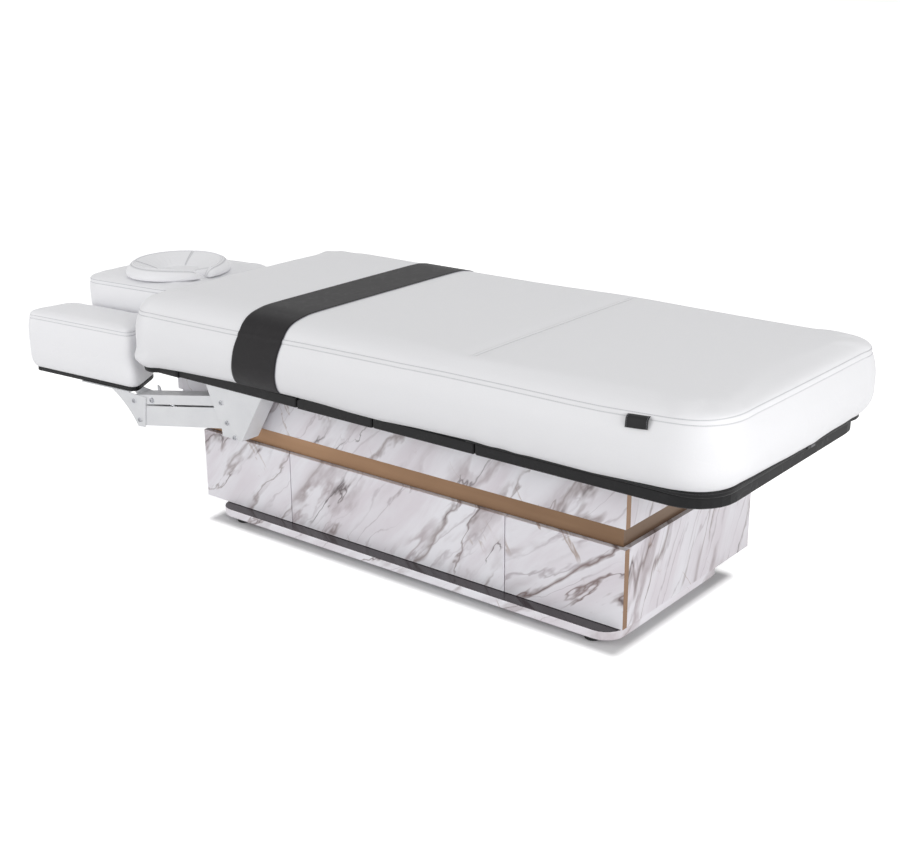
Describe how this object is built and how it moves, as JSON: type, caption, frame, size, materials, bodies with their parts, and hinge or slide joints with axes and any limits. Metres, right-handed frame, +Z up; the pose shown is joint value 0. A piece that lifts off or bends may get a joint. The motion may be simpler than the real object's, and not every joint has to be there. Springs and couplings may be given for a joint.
{
  "type": "treatment table",
  "caption": "Spa treatment table: padded folding top with headrest and lifting armrests on telescopic columns, over a cabinet base with drawers.",
  "frame": {"origin": "on the floor, at the middle of the table's bounding box", "axes": "+Z up, -X towards the head end, -Y towards the side with the drawers"},
  "size_m": [2.381, 0.846, 0.648],
  "materials": {
    "marble_board": "satin marble-look laminate",
    "bronze_laminate": "satin bronze laminate",
    "plinth_slab": "gloss",
    "carcass_board": "matte",
    "foot_rubber": "matte",
    "column_paint": "satin",
    "frame_paint": "satin",
    "arm_paint": "satin",
    "black_vinyl": "matte vinyl over plywood",
    "white_leatherette": "satin coated fabric",
    "black_housing": "satin",
    "bright_steel": "polished"
  },
  "bodies": {
    "base": {"plinth": "plinth_slab", "foot_pad_1": "foot_rubber", "foot_pad_2": "foot_rubber", "foot_pad_3": "foot_rubber", "foot_pad_4": "foot_rubber", "end_panel_foot": "marble_board", "end_panel_head": "marble_board", "far_panel": "marble_board", "divider_head": "carcass_board", "divider_foot": "carcass_board", "band_deck": "bronze_laminate", "frieze_near": "marble_board", "frieze_far": "marble_board", "frieze_foot": "marble_board", "frieze_head": "marble_board", "column_outer_head": "column_paint", "column_outer_foot": "column_paint"},
    "column_stages": {"column_middle_head": "column_paint", "column_middle_foot": "column_paint"},
    "top": {"lift_frame": "frame_paint", "board_seat": "black_vinyl", "pad_seat": "white_leatherette", "back_actuator": "black_housing", "leg_actuator": "black_housing"},
    "back": {"back_frame": "frame_paint", "board_back": "black_vinyl", "pad_back": "white_leatherette", "arm_frame_near": "arm_paint", "arm_frame_far": "arm_paint"},
    "back_rod": {"back_actuator_rod": "bright_steel"},
    "thigh": {"thigh_frame": "frame_paint", "board_thigh": "black_vinyl", "pad_thigh": "white_leatherette"},
    "calf": {"calf_frame": "frame_paint", "board_calf": "black_vinyl", "pad_calf": "white_leatherette"},
    "leg_rod": {"leg_actuator_rod": "bright_steel"},
    "headrest_carrier": {"headrest_slide": "frame_paint"},
    "headrest": {"headrest_board": "black_vinyl", "headrest_pad": "white_leatherette", "face_cushion": "white_leatherette"},
    "drawer_head": {"drawer_front_head": "marble_board", "drawer_tray_head": "carcass_board"},
    "drawer_middle": {"drawer_front_middle": "marble_board", "drawer_tray_middle": "carcass_board"},
    "drawer_foot": {"drawer_front_foot": "marble_board", "drawer_tray_foot": "carcass_board"},
    "upper_arm_near": {"upper_arm_near": "arm_paint"},
    "lower_arm_near": {"lower_arm_near": "arm_paint"},
    "armrest_near": {"gusset_near": "arm_paint", "armrest_pad_near": "white_leatherette"},
    "strut_near": {"strut_tube_near": "black_housing"},
    "strut_piston_near": {"strut_rod_near": "bright_steel"},
    "upper_arm_far": {"upper_arm_far": "arm_paint"},
    "lower_arm_far": {"lower_arm_far": "arm_paint"},
    "armrest_far": {"gusset_far": "arm_paint", "armrest_pad_far": "white_leatherette"},
    "strut_far": {"strut_tube_far": "black_housing"},
    "strut_piston_far": {"strut_rod_far": "bright_steel"}
  },
  "joints": [
    {"name": "lift", "type": "slide", "parent": "base", "child": "top", "axis": [0, 0, 1], "range_m": [0, 0.3]},
    {"name": "column_stage", "type": "slide", "parent": "base", "child": "column_stages", "axis": [0, 0, 1], "range_m": [0, 0.151]},
    {"name": "back_tilt", "type": "hinge", "parent": "top", "child": "back", "pos_m": [-0.054, 0, 0.4355], "axis": [0, 1, 0], "range_deg": [0, 60], "deforming": ["pad_seat"]},
    {"name": "back_rod_slide", "type": "slide", "parent": "top", "child": "back_rod", "axis": [-1, 0, 0], "range_m": [0, 0.0765]},
    {"name": "thigh_tilt", "type": "hinge", "parent": "top", "child": "thigh", "pos_m": [0.207, 0, 0.4355], "axis": [0, -1, 0], "range_deg": [0, 25]},
    {"name": "calf_tilt", "type": "hinge", "parent": "thigh", "child": "calf", "pos_m": [0.526, 0, 0.4002], "axis": [0, 1, 0], "range_deg": [0, 25.1]},
    {"name": "leg_rod_slide", "type": "slide", "parent": "top", "child": "leg_rod", "axis": [1, 0, 0], "range_m": [0, 0.0295]},
    {"name": "headrest_reach", "type": "slide", "parent": "back", "child": "headrest_carrier", "axis": [-1, 0, 0], "range_m": [0, 0.08]},
    {"name": "headrest_tilt", "type": "hinge", "parent": "headrest_carrier", "child": "headrest", "pos_m": [-0.7, 0, 0.462], "axis": [0, 1, 0], "range_deg": [-45, 10]},
    {"name": "drawer_slide_head", "type": "slide", "parent": "base", "child": "drawer_head", "axis": [0, -1, 0], "range_m": [0, 0.19]},
    {"name": "drawer_slide_middle", "type": "slide", "parent": "base", "child": "drawer_middle", "axis": [0, -1, 0], "range_m": [0, 0.19]},
    {"name": "drawer_slide_foot", "type": "slide", "parent": "base", "child": "drawer_foot", "axis": [0, -1, 0], "range_m": [0, 0.19]},
    {"name": "arm_near", "type": "hinge", "parent": "back", "child": "upper_arm_near", "pos_m": [-0.343, -0.35575, 0.373], "axis": [0, 1, 0], "range_deg": [-4, 15]},
    {"name": "lower_link_near", "type": "hinge", "parent": "back", "child": "lower_arm_near", "pos_m": [-0.323, -0.35575, 0.319], "axis": [0, 1, 0], "range_deg": [-4.05, 15.05]},
    {"name": "carrier_near", "type": "hinge", "parent": "upper_arm_near", "child": "armrest_near", "pos_m": [-0.71207, -0.35575, 0.30659], "axis": [0, 1, 0], "range_deg": [-15.05, 4.05]},
    {"name": "strut_swing_near", "type": "hinge", "parent": "back", "child": "strut_near", "pos_m": [-0.296, -0.35575, 0.282], "axis": [0, 1, 0], "range_deg": [-3.35, 12.43]},
    {"name": "strut_reach_near", "type": "slide", "parent": "strut_near", "child": "strut_piston_near", "axis": [-0.9947, 0, 0.1024], "range_m": [-0.0062, 0.0213]},
    {"name": "arm_far", "type": "hinge", "parent": "back", "child": "upper_arm_far", "pos_m": [-0.343, 0.35575, 0.373], "axis": [0, 1, 0], "range_deg": [-4, 15]},
    {"name": "lower_link_far", "type": "hinge", "parent": "back", "child": "lower_arm_far", "pos_m": [-0.323, 0.35575, 0.319], "axis": [0, 1, 0], "range_deg": [-4.05, 15.05]},
    {"name": "carrier_far", "type": "hinge", "parent": "upper_arm_far", "child": "armrest_far", "pos_m": [-0.71207, 0.35575, 0.30659], "axis": [0, 1, 0], "range_deg": [-15.05, 4.05]},
    {"name": "strut_swing_far", "type": "hinge", "parent": "back", "child": "strut_far", "pos_m": [-0.296, 0.35575, 0.282], "axis": [0, 1, 0], "range_deg": [-3.35, 12.43]},
    {"name": "strut_reach_far", "type": "slide", "parent": "strut_far", "child": "strut_piston_far", "axis": [-0.9947, 0, 0.1024], "range_m": [-0.0062, 0.0213]}
  ],
  "couplings": [
    {"joint": "column_stage", "follows": "lift", "ratio": 0.5},
    {"joint": "back_rod_slide", "follows": "back_tilt", "m_per_rad": 0.072775},
    {"joint": "calf_tilt", "follows": "thigh_tilt", "ratio": 1},
    {"joint": "leg_rod_slide", "follows": "thigh_tilt", "m_per_rad": 0.067067},
    {"joint": "lower_link_near", "follows": "arm_near", "ratio": 1},
    {"joint": "carrier_near", "follows": "arm_near", "ratio": -1},
    {"joint": "strut_swing_near", "follows": "arm_near", "ratio": 0.825},
    {"joint": "strut_reach_near", "follows": "arm_near", "m_per_rad": 0.0808},
    {"joint": "lower_link_far", "follows": "arm_far", "ratio": 1},
    {"joint": "carrier_far", "follows": "arm_far", "ratio": -1},
    {"joint": "strut_swing_far", "follows": "arm_far", "ratio": 0.825},
    {"joint": "strut_reach_far", "follows": "arm_far", "m_per_rad": 0.0808}
  ]
}
